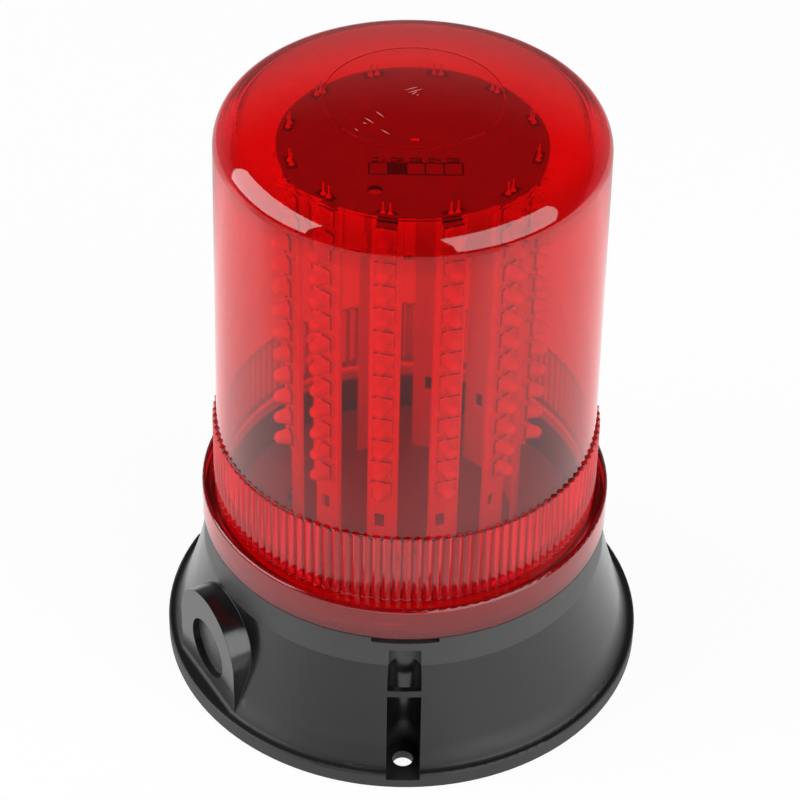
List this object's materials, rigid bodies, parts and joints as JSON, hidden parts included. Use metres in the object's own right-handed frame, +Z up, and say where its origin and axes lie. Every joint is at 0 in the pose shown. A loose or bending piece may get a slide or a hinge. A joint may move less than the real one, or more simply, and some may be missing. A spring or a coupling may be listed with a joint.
{
  "type": "led_warning_beacon",
  "caption": "LED warning beacon with a clear red ribbed lens over a tower of LED strips, on a flared black base with fixing slots and a side conduit knockout.",
  "frame": {"origin": "centre of the base underside", "axes": "+Z up along the lens axis, -Y through the front fixing slot"},
  "size_m": [0.19, 0.19, 0.2556],
  "materials": {
    "base_black": "satin moulded black plastic",
    "lens_red": "clear red polycarbonate, polished",
    "seal_rubber": "pale soft silicone",
    "board_brown": "plain brown board with dark print",
    "strip_white": "white solder mask on fibreglass",
    "led_clear": "clear cast resin",
    "header_black": "black moulded plastic",
    "solder_tin": "bright tin solder",
    "screw_steel": "zinc plated steel",
    "terminal_green": "green moulded plastic",
    "ferrite_grey": "dark ferrite with enamelled winding",
    "capacitor_sleeve": "shrunk plastic sleeve"
  },
  "bodies": {
    "base_body": {"base": "base_black", "lens_seal": "seal_rubber", "driver_board": "board_brown", "board_screws": "screw_steel", "top_board": "board_brown", "upper_headers": "header_black", "upper_pins": "solder_tin", "lower_headers": "header_black", "lower_pins": "solder_tin", "terminal_block": "terminal_green", "terminal_screws": "screw_steel", "driver_inductor": "ferrite_grey", "driver_capacitors": "capacitor_sleeve", "driver_chips": "header_black", "led_strip_01": "strip_white", "led_strip_02": "strip_white", "led_strip_03": "strip_white", "led_strip_04": "strip_white", "led_strip_05": "strip_white", "led_strip_06": "strip_white", "led_strip_07": "strip_white", "led_strip_08": "strip_white", "led_strip_09": "strip_white", "led_strip_10": "strip_white", "led_strip_11": "strip_white", "led_strip_12": "strip_white", "led_row_01": "led_clear", "led_row_02": "led_clear", "led_row_03": "led_clear", "led_row_04": "led_clear", "led_row_05": "led_clear", "led_row_06": "led_clear", "led_row_07": "led_clear", "led_row_08": "led_clear", "led_row_09": "led_clear", "led_row_10": "led_clear", "led_row_11": "led_clear", "led_row_12": "led_clear"},
    "lens_body": {"lens": "lens_red"}
  },
  "joints": [
    {"name": "lens_turn", "type": "hinge", "parent": "base_body", "child": "lens_body", "pos_m": [0, 0, 0.0638], "axis": [0, 0, 1], "range_deg": [0, 16]}
  ]
}
